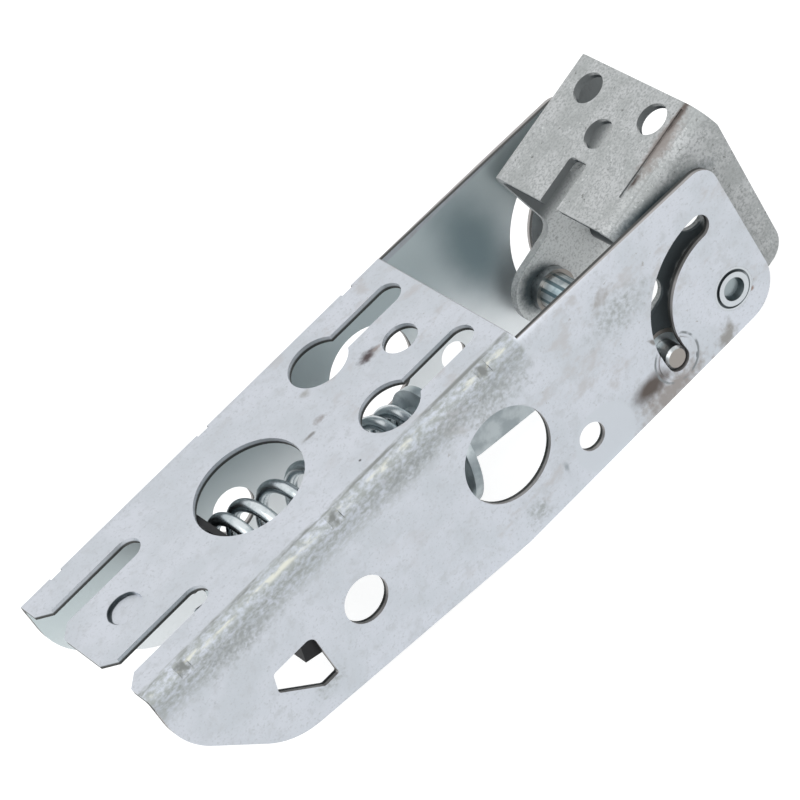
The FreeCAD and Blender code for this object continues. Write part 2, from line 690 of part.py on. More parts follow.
def make_guide_rod():
    """Flat rod: an eye on the cross pin, a head and a tongue in the spring."""
    body = new_body("guide_rod", PIN_X, PIN_Z, "rod_tilt")
    seat = "(spring_start - spring_length - cup_gauge)"
    head_top = "-rod_offset + rod_head_half"
    head_low = "-rod_offset - rod_head_half"
    rear = "(spring_start + abutment_gauge + hub_length + tail_step)"
    profile = new_sketch(body, "rod_outline", "XZ_Plane")
    outline(profile, [
        (f"-{seat}", head_top),
        ("-rod_top_x", f"{head_top} + rod_top_rise"),
        ("0", "eye_radius"),
        ("0", "-eye_radius"),
        ("-rod_neck_x", f"{head_low} + rod_waist_rise", "eye_radius"),
        ("-rod_shoulder_x", head_low, "eye_radius"),
        (f"-{seat}", head_low),
        (f"-{seat}", "-rod_offset - rod_tongue_half"),
        (f"-{rear} - rod_tail", "-rod_offset - rod_tongue_half", "rod_tongue_half / 5"),
        (f"-{rear} - rod_tail", "-rod_offset - rod_tongue_half / 2", "rod_tongue_half / 5"),
        (f"-{rear}", "-rod_offset - rod_tongue_half / 2"),
        (f"-{rear}", "-rod_offset + rod_tongue_half", "rod_tongue_half / 5"),
        (f"-{seat}", "-rod_offset + rod_tongue_half"),
    ])
    pad(body, profile, "rod_blank", "rod_gauge", both=True)
    end = new_sketch(body, "rod_end", "XZ_Plane")
    circle(end, "0", "0", "2 * eye_radius")
    pad(body, end, "round_end", "rod_gauge", both=True)
    eye = new_sketch(body, "rod_eye", "XZ_Plane")
    circle(eye, "0", "0", "pin_dia + 2 * running_gap")
    pocket(body, eye, "eye")

    cup = new_body("spring_cup", PIN_X, PIN_Z, "rod_tilt")
    face = "-(spring_start - spring_length)"
    disc = new_sketch(cup, "cup_disc", "YZ_Plane", face)
    circle(disc, "0", "-rod_offset", "cup_dia")
    pad(cup, disc, "disc", "cup_gauge")
    boss = new_sketch(cup, "cup_boss", "YZ_Plane", face)
    circle(boss, "0", "-rod_offset", "spring_dia - 2 * wire_dia - 4 * side_gap")
    pad(cup, boss, "boss", "cup_boss_height", reverse=True)
    slot = new_sketch(cup, "cup_slot", "YZ_Plane", face)
    box_outline(
        slot,
        "-rod_gauge / 2 - running_gap", "-rod_offset - rod_tongue_half - running_gap",
        "rod_gauge / 2 + running_gap", "-rod_offset + rod_tongue_half + running_gap",
    )
    pocket(cup, slot, "tongue_slot")


def make_spring():
    """Compression spring with closer end turns, along the guide rod."""
    length, wire = value_of("spring_length"), value_of("wire_dia")
    mean = (value_of("spring_dia") - wire) / 2
    share = (length - wire) / sum(SPRING_CLIMBS)
    samples = []
    start_turn, start_height = 0, wire / 2
    for stop_turn, climb in zip(SPRING_TURNS, SPRING_CLIMBS):
        steps = round((stop_turn - start_turn) * SAMPLES_PER_TURN)
        for i in range(steps):
            turn = start_turn + (stop_turn - start_turn) * i / steps
            angle = 2 * math.pi * turn
            samples.append(FreeCAD.Vector(
                mean * math.cos(angle), mean * math.sin(angle),
                start_height + share * climb * i / steps,
            ))
        start_turn, start_height = stop_turn, start_height + share * climb
    angle = 2 * math.pi * start_turn
    samples.append(FreeCAD.Vector(mean * math.cos(angle), mean * math.sin(angle), start_height))
    course = Part.BSplineCurve()
    course.interpolate(samples)
    edge = course.toShape()
    path = Part.Wire([edge])
    start = edge.valueAt(edge.FirstParameter)
    heading = edge.tangentAt(edge.FirstParameter)
    profile = Part.Wire([Part.makeCircle(wire / 2, start, heading)])
    coil = path.makePipeShell([profile], True, True)
    coil = coil.Solids[0] if coil.Solids else coil
    spring = doc.addObject("Part::Feature", "spring")
    spring.Label = "spring"
    spring.Shape = coil
    tilt, phase = value_of("rod_tilt"), value_of("spring_phase")
    rod = FreeCAD.Placement(
        FreeCAD.Vector(value_of(PIN_X), 0, value_of(PIN_Z)),
        FreeCAD.Rotation(FreeCAD.Vector(0, 1, 0), tilt),
    )
    seat = FreeCAD.Placement(
        FreeCAD.Vector(-value_of("spring_start"), 0, -value_of("rod_offset")),
        FreeCAD.Rotation(FreeCAD.Vector(0, 1, 0), 90),
    )
    spin = FreeCAD.Placement(
        FreeCAD.Vector(), FreeCAD.Rotation(FreeCAD.Vector(0, 0, 1), phase)
    )
    spring.Placement = rod.multiply(seat).multiply(spin)


def make_abutment():
    """Black moulding across the channel that the spring pushes against."""
    body = new_body("spring_abutment", PIN_X, PIN_Z, "rod_tilt")
    face = "-spring_start - abutment_gauge"
    half = f"({WALL_IN} - side_gap)"
    top, low = "-rod_offset + abutment_top", "-rod_offset - abutment_drop"
    plate = new_sketch(body, "abutment_plate", "YZ_Plane", face)
    box_outline(plate, f"-{half}", low, half, top)
    pad(body, plate, "plate", "abutment_gauge")
    cheeks = new_sketch(body, "abutment_cheeks", "YZ_Plane", face)
    box_outline(cheeks, f"-{half}", low, f"-{half} + cheek_width", "-rod_offset + abutment_top / 2")
    box_outline(cheeks, f"{half} - cheek_width", low, half, "-rod_offset + abutment_top / 2")
    pad(body, cheeks, "cheeks", "cheek_length")
    above = "(rod_tongue_half + swing_room_up)"
    below = "(rod_tongue_half + swing_room_down)"
    hub = new_sketch(body, "abutment_hub", "YZ_Plane", face)
    box_outline(
        hub,
        "-rod_gauge / 2 - side_gap - hub_wall", f"-rod_offset - {below} - hub_wall",
        "rod_gauge / 2 + side_gap + hub_wall", f"-rod_offset + {above} + hub_wall",
    )
    pad(body, hub, "hub", "hub_length", reverse=True)
    slot = new_sketch(body, "abutment_slot", "YZ_Plane", face)
    box_outline(
        slot,
        "-rod_gauge / 2 - side_gap", f"-rod_offset - {below}",
        "rod_gauge / 2 + side_gap", f"-rod_offset + {above}",
    )
    pocket(body, slot, "rod_slot")


make_housing()
make_bracket()
make_pivot()
make_cross_pin()
make_guide_rod()
make_spring()
make_abutment()
doc.recompute()

failed = [o.Label for o in doc.Objects if "Invalid" in o.State or "Error" in o.State]
if failed:
    raise RuntimeError("failed objects: " + ", ".join(failed))
pieces = [o for o in doc.Objects if o.TypeId == "PartDesign::Body" or o.Name == "spring"]
for piece in pieces:
    shape = piece.Shape
    if shape.isNull() or not shape.isValid() or len(shape.Solids) != 1:
        raise RuntimeError(f"{piece.Label} is not one valid solid")
os.makedirs("parts", exist_ok=True)
for piece in pieces:
    piece.Shape.exportStep(os.path.join("parts", piece.Label + ".step"))
    box = piece.Shape.BoundBox
    print(piece.Label, round(piece.Shape.Volume, 1), [round(v, 2) for v in (
        box.XMin, box.YMin, box.ZMin, box.XMax, box.YMax, box.ZMax)])
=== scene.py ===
import math

import bmesh
import bpy
from mathutils import Matrix, Vector

MM = 0.001

# Shared places of the hinge, in millimetres, in the frame of the CAD part
# (the channel's sheet is 1.2 thick: its walls lie at 17.8 to 19 and its web at 22.96
# to 24.16)
PLATE_TILT = 13.43
ROD_TILT = 14.4
WEB_TOP = 24.2
DIMPLE_X = -102.6
DIMPLE_RADIUS = 3.25
SLOT_END = (-13.88, -19, -1.85)
FLANGE_FACE = (0, -15.75, 0)
HINGE_MIDDLE = (-50, 0, 8)
FLOOR_Z = -7.3

# Grey rubs of the folding tool on the near wall: centre, half sizes
TOOL_RUBS = (
    ((-42, -19, 18.5), (11, 3, 4.5)),
    ((-58, -19, 20), (12, 3, 2.5)),
    ((-96, -19, 19.5), (12, 3, 3.0)),
    ((-46, -19, -4), (3.5, 3, 3)),
    ((-88, -19, 1.5), (4, 3, 2.5)),
    ((-18, -19, 13.5), (9, 3, 4.5)),
)

# Dirt and dark smears on the channel, and one lighter pad in it: centre, half sizes,
# # turn about Y, softness, raggedness, colour
DIRT_MARKS = (
    ((-48.6, 2.4, 24.2), (2.5, 1.5, 1.5), 0, 0.8, 0.5, "#5b5354"),
    ((-46.8, 2.2, 24.2), (1.6, 0.7, 1.5), 0, 1.0, 0.6, "#9a9391"),
    ((-63.3, -13.9, 24.2), (0.35, 0.35, 1.5), 0, 0.8, 0.2, "#5d5d5f"),
    ((-61.2, -0.3, 24.2), (1.4, 1.0, 1.5), 0, 1.0, 0.9, "#9d9a9a"),
    ((-64.3, -1.6, 24.2), (1.8, 0.6, 1.5), 0, 1.0, 0.9, "#8f8f8f"),
    ((-59.0, 6.4, 24.2), (1.5, 1.2, 1.5), 0, 1.0, 0.6, "#a8a9a9"),
    ((-17.0, -19, -6.0), (9.5, 3, 3.6), 0, 0.9, 0.8, "#9c9896"),
    # A dark brown smear along the step between the lighter pad and the slot's end
    ((-20.0, -19, -2.4), (5.4, 3, 2.7), 0, 0.75, 0.15, "#625b57"),
    ((-30.6, -19, -3.0), (6.3, 3, 6.0), 0, 0.12, 0.05, "#c6cbd1"),
    ((-5.0, -19, -6.0), (3.6, 2, 2.2), -35, 0.9, 0.9, "#9a9997"),
    ((-15.9, -19, 3.9), (0.5, 2, 1.6), -30, 0.8, 0.6, "#8b8a89"),
    ((-10.8, -19, -4.4), (0.35, 2, 0.9), 25, 0.8, 0.2, "#63676a"),
    ((2.6, -19, -2.6), (0.6, 2, 0.6), 0, 0.8, 0.5, "#94827b"),
    ((-19.5, -19, 17.6), (3.5, 2, 1.6), -25, 1.0, 0.9, "#a8a7a7"),
    ((-38.5, -19, -1.7), (0.6, 2, 1.5), 0, 1.0, 0.6, "#9fa5aa"),
    ((-104.6, -18.2, 23.4), (1.6, 1.4, 1.4), 0, 0.8, 0.9, "#8e9190"),
    ((-72.8, -18.2, 23.4), (1.3, 1.4, 1.4), 0, 0.8, 0.9, "#8e9190"),
    ((-41.0, -18.2, 23.4), (1.3, 1.4, 1.4), 0, 0.8, 0.9, "#8e9190"),
)

# Shade on the inside of the far wall behind the bracket's arm: centre, half sizes
ARM_SHADE = ((-19.5, 17.8, 13), (9, 2, 19))

# Marks on the door bracket, in the same order: a rusty pressed line, a duller patch along
# the bend, a dark spot, painted shade from the near wall along the near flange, and painted
# shade round both eye bosses
BRACKET_MARKS = (
    ((7.0, -12.7, 26.85), (10.5, 0.95, 1.4), -PLATE_TILT, 0.6, 0.3, "#6f6763"),
    ((4.0, -13.2, 26.1), (8.5, 2.6, 1.6), -PLATE_TILT, 1.0, 0.7, "#95908d"),
    ((-2.4, -12.9, 24.6), (2.6, 0.9, 1.2), -PLATE_TILT, 0.9, 0.3, "#5f5855"),
    # Painted shade from the near wall along the near flange
    ((-2.0, -15.4, 19.8), (13.5, 2.2, 3.0), 5, 0.7, 0.12, "#45545a"),
    # Painted shade round both eye bosses
    ((-15.2, -13.6, -0.4), (5.6, 1.6, 5.6), 0, 0.4, 0.1, "#5c6669"),
    ((-15.2, 13.6, -0.4), (5.6, 1.6, 5.6), 0, 0.4, 0.1, "#5c6669"),
)

# Painted reflection bands round a pin sleeve
SLEEVE_REFLECTION_BANDS = 12

# Direction that the bracket's plate faces
PLATE_NORMAL = (
    -math.sin(math.radians(PLATE_TILT)), 0, math.cos(math.radians(PLATE_TILT))
)

# Direction of the guide rod, which the spring is wound about
SPRING_AXIS = (math.cos(math.radians(ROD_TILT)), 0, -math.sin(math.radians(ROD_TILT)))

# Camera of the photograph: its place, and its right, down and forward directions
CAMERA_PLACE = (-197.7235, -527.8421, 459.0537)
CAMERA_RIGHT = (0.6958382, -0.56682652, -0.4410407)
CAMERA_DOWN = (-0.68653844, -0.3446498, -0.64021987)
CAMERA_FORWARD = (0.21088902, 0.74828084, -0.62896869)
FOCAL_PIXELS = 4594.1
IMAGE_PIXELS = 800
SENSOR_WIDTH = 36.0
CLIP_NEAR, CLIP_FAR = 0.01, 20

# Soft boxes: name, place and size in metres, watts
SOFT_BOXES = (
    ("key_softbox", (-0.45, -0.35, 0.75), 1.2, 8.0),
    ("fill_softbox", (0.5, -0.6, 0.35), 0.8, 1.4),
)

# The floor's grid size in metres, and its glow to the camera and in reflections
FLOOR_SIZE = 3.0
FLOOR_SEEN = 0.85
FLOOR_MIRRORED = 0.65

# Strength of the room's light, and how bright the room looks
ROOM_LIGHT = 0.55
ROOM_SEEN = 1.0


def linear(code):
    """An sRGB hex colour as linear RGBA."""
    channels = [int(code[i : i + 2], 16) / 255 for i in (1, 3, 5)]
    return tuple(
        c / 12.92 if c <= 0.04045 else ((c + 0.055) / 1.055) ** 2.4 for c in channels
    ) + (1.0,)


def per_mm(size):
    """Texture scale at which a pattern repeats about every size millimetres."""
    return 1 / (size * MM)


def add_node(tree, kind, settings=None, links=None):
    """Adds a node, sets its sockets or properties, and links its inputs."""
    node = tree.nodes.new(kind)
    for name, value in (settings or {}).items():
        if isinstance(name, int) or name in node.inputs:
            node.inputs[name].default_value = value
        else:
            setattr(node, name, value)
    for name, source in (links or {}).items():
        tree.links.new(source, node.inputs[name])
    return node


def start_material(name):
    """An empty material with its shader, output and object coordinates."""
    material = bpy.data.materials.new(name)
    material.use_nodes = True
    tree = material.node_tree
    tree.nodes.clear()
    place = add_node(tree, "ShaderNodeTexCoord").outputs["Object"]
    shader = add_node(tree, "ShaderNodeBsdfPrincipled")
    add_node(tree, "ShaderNodeOutputMaterial", links={"Surface": shader.outputs["BSDF"]})
    return material, tree, place, shader


def blotches(tree, place, size, low, high, detail=4.0, stretch=(1, 1, 1), turn=(0, 0, 0)):
    """Soft patches about size millimetres across, stretched and turned."""
    turned = add_node(
        tree,
        "ShaderNodeMapping",
        {"Scale": stretch, "Rotation": [math.radians(a) for a in turn]},
        {"Vector": place},
    )
    noise = add_node(
        tree,
        "ShaderNodeTexNoise",
        {"Scale": per_mm(size), "Detail": detail, "Roughness": 0.6},
        {"Vector": turned.outputs["Vector"]},
    )
    return rise(tree, noise.outputs["Fac"], low, high, 1)


def rise(tree, value, start, full, unit=MM):
    """A mask that grows from nothing at start to all at full."""
    return add_node(
        tree,
        "ShaderNodeMapRange",
        {
            "From Min": start * unit,
            "From Max": full * unit,
            "interpolation_type": "SMOOTHSTEP",
        },
        {"Value": value},
    ).outputs["Result"]


def along(tree, vector, direction):
    """How far a place lies along a direction, or how squarely a face looks that way."""
    return add_node(
        tree,
        "ShaderNodeVectorMath",
        {"operation": "DOT_PRODUCT", 1: direction},
        {0: vector},
    ).outputs["Value"]


def unsigned(tree, vector):
    """A place or a direction with its signs dropped, so that both sides are alike."""
    return add_node(
        tree, "ShaderNodeVectorMath", {"operation": "ABSOLUTE"}, {0: vector}
    ).outputs["Vector"]


def patch(tree, place, centre, reach, turn=0, soft=0.5, ragged=0.5, grain=1.6):
    """A ragged patch with its centre and half sizes in millimetres, turned about Y."""
    local = add_node(
        tree,
        "ShaderNodeMapping",
        {
            "vector_type": "TEXTURE",
            "Location": [c * MM for c in centre],
            "Rotation": (0, math.radians(turn), 0),
            "Scale": [r * MM for r in reach],
        },
        {"Vector": place},
    )
    away = add_node(
        tree, "ShaderNodeVectorMath", {"operation": "LENGTH"}, {0: local.outputs["Vector"]}
    )
    ripple = add_node(
        tree,
        "ShaderNodeTexNoise",
        {"Scale": per_mm(grain), "Detail": 4.0},
        {"Vector": place},
    )
    wavy = add_node(
        tree,
        "ShaderNodeMath",
        {"operation": "MULTIPLY_ADD", 1: 2 * ragged},
        {0: ripple.outputs["Fac"], 2: away.outputs["Value"]},
    )
    edge = 1 + ragged
    return rise(tree, wavy.outputs["Value"], edge, edge - soft, 1)


def both(tree, first, second, operation="MULTIPLY"):
    """Two masks combined into one."""
    return add_node(
        tree,
        "ShaderNodeMath",
        {"operation": operation, "use_clamp": True},
        {0: first, 1: second},
    ).outputs["Value"]


def ring(tree, place, centre, depth, outer, inner):
    """A ring round the Y direction, its edges given as radius, softness and
    raggedness."""
    discs = [
        patch(tree, place, centre, (radius, depth, radius), 0, soft, ragged)
        for radius, soft, ragged in (outer, inner)
    ]
    return both(tree, discs[0], rise(tree, discs[1], 1, 0, 1))


def paint(tree, under, over, mask):
    """Lays one colour, a hex code or a socket, over another where the mask is white."""
    mix = add_node(tree, "ShaderNodeMix", {"data_type": "RGBA"}, {0: mask})
    for socket, colour in ((6, under), (7, over)):
        if isinstance(colour, str):
            mix.inputs[socket].default_value = linear(colour)
        else:
            tree.links.new(colour, mix.inputs[socket])
    return mix.outputs[2]


def roughen(tree, shader, place, relief):
    """Bumps the shader: rows of grain size and height in millimetres, and detail."""
    normal = None
    for size, height, detail in relief:
        noise = add_node(
            tree,
            "ShaderNodeTexNoise",
            {"Scale": per_mm(size), "Detail": detail, "Roughness": 0.6},
            {"Vector": place},
        )
        bump = add_node(
            tree,
            "ShaderNodeBump",
            {"Strength": 1.0, "Distance": height * MM},
            {"Height": noise.outputs["Fac"]},
        )
        if normal:
            tree.links.new(normal, bump.inputs["Normal"])
        normal = bump.outputs["Normal"]
    tree.links.new(normal, shader.inputs["Normal"])


def finish_shader(tree, shader, place, colour, roughness, relief, metallic=1.0):
    """Links the colour and the relief, and sets how metallic and rough it is."""
    tree.links.new(colour, shader.inputs["Base Color"])
    shader.inputs["Metallic"].default_value = metallic
    shader.inputs["Roughness"].default_value = roughness
    roughen(tree, shader, place, relief)


def zinc_sheet():
    """Electro-plated zinc on cold-rolled sheet: pale blue grey and milky, dull grey where a
    tool has pressed it, with brown dirt and dark broken edges. Painted shade darkens the
    inside of the channel near the web, the dimple's left side and a ring round the slot's
    end, and painted light brightens the inside of the channel low down."""
    material, tree, place, shader = start_material("electroplated_zinc_sheet")
    facing = add_node(tree, "ShaderNodeTexCoord").outputs["Normal"]
    sideways = along(tree, unsigned(tree, place), (0, 1, 0))
    height = along(tree, place, (0, 0, 1))
    faces = unsigned(tree, facing)

    # Milky clouds and a fine grain
    clouds = blotches(tree, place, 9, 0.36, 0.66)
    colour = paint(tree, "#cbcfd6", "#c3c8ce", clouds)
    mottle = blotches(tree, place, 2.0, 0.50, 0.72, 6.0)
    colour = paint(tree, colour, "#bfc3c8", mottle)
    grain = blotches(tree, place, 0.45, 0.52, 0.75, 3.0)
    colour = paint(tree, colour, "#b9bdc2", grain)

    # Hands and screws leave dull smudges and specks, most on the front half
    lengthwise = along(tree, place, (1, 0, 0))
    front = rise(tree, lengthwise, -80, -45)
    handled = blotches(tree, place, 4.2, 0.54, 0.68, 6.0, (0.7, 1, 1))
    colour = paint(tree, colour, "#bdbec1", both(tree, handled, front))
    specks = blotches(tree, place, 1.1, 0.66, 0.74, 5.0)
    colour = paint(tree, colour, "#a8a7a7", both(tree, specks, front))

    # The near bend is rough and dirty, with a brighter rubbed line
    bend = add_node(
        tree,
        "ShaderNodeMath",
        {"operation": "ADD"},
        {0: height, 1: along(tree, place, (0, 1, 0))},
    ).outputs["Value"]
    behind_front = rise(tree, lengthwise, -33.4, -34.4)
    pressed = both(tree, rise(tree, bend, -2.5, 2.5), rise(tree, bend, 8.4, 7.2))
    pressed = both(tree, pressed, behind_front)
    dull = blotches(tree, place, 0.7, 0.34, 0.66, 6.0, (0.6, 1, 1))
    colour = paint(tree, colour, "#acb0af", both(tree, pressed, dull))
    rubbed_line = both(tree, rise(tree, bend, 4.4, 5.3), rise(tree, bend, 6.4, 5.6))
    rubbed_line = both(tree, rubbed_line, behind_front)
    worn = blotches(tree, place, 1.1, 0.46, 0.62, 5.0, (0.35, 1, 1))
    colour = paint(tree, colour, "#d2d3cc", both(tree, rubbed_line, worn))
    crease = both(tree, rise(tree, bend, 6.9, 7.4), rise(tree, bend, 8.2, 7.7))
    crease = both(tree, crease, behind_front)
    broken = blotches(tree, place, 2.6, 0.38, 0.56, 5.0, (0.3, 1, 1))
    colour = paint(tree, colour, "#949796", both(tree, crease, broken))

    # Grey tool rub on the wall under the bend
    grey = blotches(tree, place, 0.9, 0.34, 0.66, 6.0)
    for centre, reach in TOOL_RUBS:
        rub = both(tree, patch(tree, place, centre, reach, soft=0.9, ragged=0.8), grey)
        colour = paint(tree, colour, "#a4a8a9", rub)

    # Dirt and dark smears where the hinge has worked and been handled
    for centre, reach, turn, soft, ragged, code in DIRT_MARKS:
        mark = patch(tree, place, centre, reach, turn, soft, ragged, 1.1)
        colour = paint(tree, colour, code, mark)

    # Painted shade round the end of the pin's slot: a darker broken ring for the edge of a
    # pressed ring
    rim = ring(tree, place, SLOT_END, 2, (4.5, 0.05, 0.03), (4.1, 0.05, 0.03))
    slot_ring_shade = both(tree, rim, blotches(tree, place, 3, 0.40, 0.56))
    colour = paint(tree, colour, "#858a8d", slot_ring_shade)

    # The half-pressed dimple gets a painted shadow: a dark crescent at its left
    whole_disc = patch(
        tree,
        place,
        (DIMPLE_X, 0, WEB_TOP),
        (DIMPLE_RADIUS, DIMPLE_RADIUS, 3),
        soft=0.06,
        ragged=0.04,
    )
    pressed_disc = patch(
        tree, place, (DIMPLE_X + 0.25, -0.5, WEB_TOP), (3.2, 3.2, 3), soft=0.06, ragged=0.04
    )
    dimple_shadow = add_node(
        tree,
        "ShaderNodeMath",
        {"operation": "SUBTRACT", "use_clamp": True},
        {0: whole_disc, 1: pressed_disc},
    ).outputs["Value"]
    colour = paint(tree, colour, "#50575b", dimple_shadow)

    # Painted shade inside the channel, darker towards the web, and painted light low down;
    # the far wall also gets a painted shade patch behind the bracket's arm
    inner = both(tree, rise(tree, sideways, 18.4, 18.2), along(tree, faces, (0, 1, 0)))
    below_web = both(tree, inner, rise(tree, height, 22.6, 22.2))
    deep = rise(tree, height, 2, 18)
    inner_shading = paint(tree, "#eef2f4", "#d0dadc", deep)
    shade = patch(tree, place, *ARM_SHADE, soft=0.9, ragged=0.2, grain=8)
    inner_shading = paint(tree, inner_shading, "#94a4a9", shade)
    colour = paint(tree, colour, inner_shading, below_web)

    # Cut edges: the shear rolls the outer part over and breaks the rest off dark
    on_wall = both(
        tree, rise(tree, height, 21.7, 21.3), rise(tree, lengthwise, -34.0, -33.6), "ADD"
    )
    on_web = rise(tree, on_wall, 1, 0, 1)
    ends = rise(tree, along(tree, faces, (1, 0, 0)), 0.25, 0.4, 1)
    wall_side = rise(tree, along(tree, faces, (0, 1, 0)), 0.6, 0.4, 1)
    wall_cut = both(tree, on_wall, wall_side)
    web_cut = both(tree, on_web, rise(tree, along(tree, faces, (0, 0, 1)), 0.6, 0.4, 1))
    web_cut = both(tree, web_cut, rise(tree, sideways, 17.1, 16.9))
    web_cut = both(tree, web_cut, both(tree, on_web, ends), "ADD")
    colour = paint(tree, colour, "#b0adac", wall_cut)
    wall_break = both(tree, wall_cut, rise(tree, sideways, 18.55, 18.25))
    web_break = both(tree, web_cut, rise(tree, height, 23.65, 23.35))
    colour = paint(tree, colour, "#525352", both(tree, wall_break, web_break, "ADD"))

    tree.links.new(colour, shader.inputs["Base Color"])
    shader.inputs["Metallic"].default_value = 1.0
    gloss = add_node(
        tree, "ShaderNodeMapRange", {"To Min": 0.5, "To Max": 0.85}, {"Value": pressed}
    )
    tree.links.new(gloss.outputs["Result"], shader.inputs["Roughness"])
    roughen(tree, shader, place, [(12, 0.12, 2.0), (0.6, 0.014, 3.0)])
    return material


def dipped_sheet():
    """Hot-dipped zinc, as lifted from the bath: a neutral grey with a sandy grain and rust
    in the pressed line; painted shade round the eyes, under the plate and along the near
    flange, and painted light on the flanges' inner faces by the arms."""
    material, tree, place, shader = start_material("hot_dipped_zinc_sheet")
    clouds = blotches(tree, place, 5.5, 0.38, 0.64)
    colour = paint(tree, "#bec0c1", "#adb0b0", clouds)
    sand = blotches(tree, place, 0.42, 0.42, 0.64, 4.0)
    colour = paint(tree, colour, "#a3a6a6", sand)
    light_sand = blotches(tree, place, 0.7, 0.60, 0.72, 4.0, turn=(30, 20, 10))
    colour = paint(tree, colour, "#c7caca", light_sand)
    pits = blotches(tree, place, 1.0, 0.63, 0.73)
    colour = paint(tree, colour, "#7e807f", pits)
    facing = add_node(tree, "ShaderNodeTexCoord").outputs["Normal"]
    upright = add_node(
        tree,
        "ShaderNodeMath",
        {"operation": "ABSOLUTE"},
        {0: along(tree, facing, PLATE_NORMAL)},
    ).outputs["Value"]
    depth = along(tree, place, PLATE_NORMAL)
    in_plate = both(tree, rise(tree, depth, 22.8, 23.1), rise(tree, depth, 23.9, 23.6))
    hole_side = both(tree, in_plate, rise(tree, upright, 0.4, 0.2, 1))
    sideways = along(tree, unsigned(tree, place), (0, 1, 0))
    flat_zone = rise(tree, sideways, 12.4, 12.2)
    inside_flanges = rise(tree, sideways, 14.7, 14.5)
    colour = paint(tree, colour, "#4d5255", both(tree, hole_side, flat_zone))
    looks_in = rise(tree, along(tree, unsigned(tree, facing), (0, 1, 0)), 0.5, 0.8, 1)
    inner_face = both(tree, looks_in, inside_flanges)
    # Painted light on the flanges' inner faces by the arms, left out in the sandy grains
    # and pits
    arm_painted_light = both(tree, inner_face, rise(tree, depth, 12, 9))
    outside_grains = rise(tree, both(tree, sand, pits, "ADD"), 2.2, 0, 1)
    colour = paint(tree, colour, "#e2e4e4", both(tree, arm_painted_light, outside_grains))
    # Painted shade on the flanges' inner faces under the plate
    shade_under_plate = both(tree, inner_face, rise(tree, depth, 10, 13))
    colour = paint(tree, colour, "#808485", shade_under_plate)
    # Painted shade on the near flange where it runs behind the slot of the wall
    flange_slot_shade = ring(tree, place, FLANGE_FACE, 1, (17.3, 0.2, 0.05), (10.6, 0.1, 0.05))
    behind_slot = rise(tree, along(tree, place, (1, 0, 0)), 3, 2)
    colour = paint(tree, colour, "#565d60", both(tree, flange_slot_shade, behind_slot))
    # Bracket marks, among them painted shade along the near flange and round the eyes
    for centre, reach, turn, soft, ragged, code in BRACKET_MARKS:
        mark = patch(tree, place, centre, reach, turn, soft, ragged, 0.9)
        colour = paint(tree, colour, code, mark)
    finish_shader(tree, shader, place, colour, 0.78, [(3.5, 0.10, 3.0), (0.5, 0.05, 3.0)])
    return material


def bright_steel():
    """Turned and plated steel: smooth, darker than the sheet and glossier, with painted
    shade in the riveted end's groove and dish.
    """
    material, tree, place, shader = start_material("plated_turned_steel")
    clouds = blotches(tree, place, 2.0, 0.4, 0.65)
    colour = paint(tree, "#b4b8ba", "#93989a", clouds)
    specks = blotches(tree, place, 0.6, 0.56, 0.68)
    colour = paint(tree, colour, "#7e8080", specks)
    facing = add_node(tree, "ShaderNodeTexCoord").outputs["Normal"]
    end_face = rise(tree, along(tree, unsigned(tree, facing), (0, 1, 0)), 0.8, 0.95, 1)
    off_pivot = rise(tree, along(tree, place, (1, 0, 0)), -7, -9)
    colour = paint(tree, colour, "#9b9691", both(tree, end_face, off_pivot))
    # The riveted end, by its radius: a light rim, a groove in it painted grey with painted
    # shade on its upper left side, and a dull dish whose wall is painted darker as shade
    flat = add_node(
        tree, "ShaderNodeVectorMath", {"operation": "MULTIPLY", 1: (1, 0, 1)}, {0: place}
    )
    radius = add_node(
        tree, "ShaderNodeVectorMath", {"operation": "LENGTH"}, {0: flat.outputs["Vector"]}
    ).outputs["Value"]
    rivet_end = both(tree, end_face, rise(tree, radius, 5, 4))
    colour = paint(tree, colour, "#c8cdd1", rivet_end)
    groove = both(tree, rise(tree, radius, 2.8, 2.95), rise(tree, radius, 3.35, 3.2))
    groove_shaded_side = rise(tree, along(tree, place, (-0.7, 0, 0.7)), -2.6, -1.0)
    colour = paint(tree, colour, "#9da3a6", groove)
    colour = paint(tree, colour, "#474d50", both(tree, groove, groove_shaded_side))
    dish = rise(tree, radius, 1.95, 1.75)
    colour = paint(tree, colour, "#98a2a5", dish)
    dish_wall_shade = both(tree, rise(tree, radius, 1.45, 1.6), rise(tree, radius, 2.05, 1.9))
    colour = paint(tree, colour, "#6a7376", dish_wall_shade)
    finish_shader(tree, shader, place, colour, 0.3, [(0.8, 0.012, 2.0)])
    return material


def sleeve_steel_with_painted_reflection():
    """Plated sleeve with painted reflection: bright bands along it with dark bands between,
    on a base painted light.
    """
    material, tree, place, shader = start_material("plated_sleeve_painted_reflection")
    facing = add_node(tree, "ShaderNodeTexCoord").outputs["Normal"]
    angle = add_node(
        tree,
        "ShaderNodeMath",
        {"operation": "ARCTAN2"},
        {0: along(tree, facing, (0, 0, 1)), 1: along(tree, facing, (1, 0, 0))},
    )
    turned = add_node(
        tree,
        "ShaderNodeMath",
        {"operation": "MULTIPLY", 1: SLEEVE_REFLECTION_BANDS},
        {0: angle.outputs["Value"]},
    )
    wave = add_node(
        tree, "ShaderNodeMath", {"operation": "SINE"}, {0: turned.outputs["Value"]}
    )
    # Painted reflection: dark bands between the bright ones, by the way each face turns
    dark_reflection_band = rise(tree, wave.outputs["Value"], 0.1, 0.7, 1)
    clouds = blotches(tree, place, 2.0, 0.4, 0.65)
    colour = paint(tree, "#e4eaec", "#c3cdd1", clouds)
    colour = paint(tree, colour, "#778a91", dark_reflection_band)
    finish_shader(tree, shader, place, colour, 0.3, [(0.8, 0.012, 2.0)])
    return material


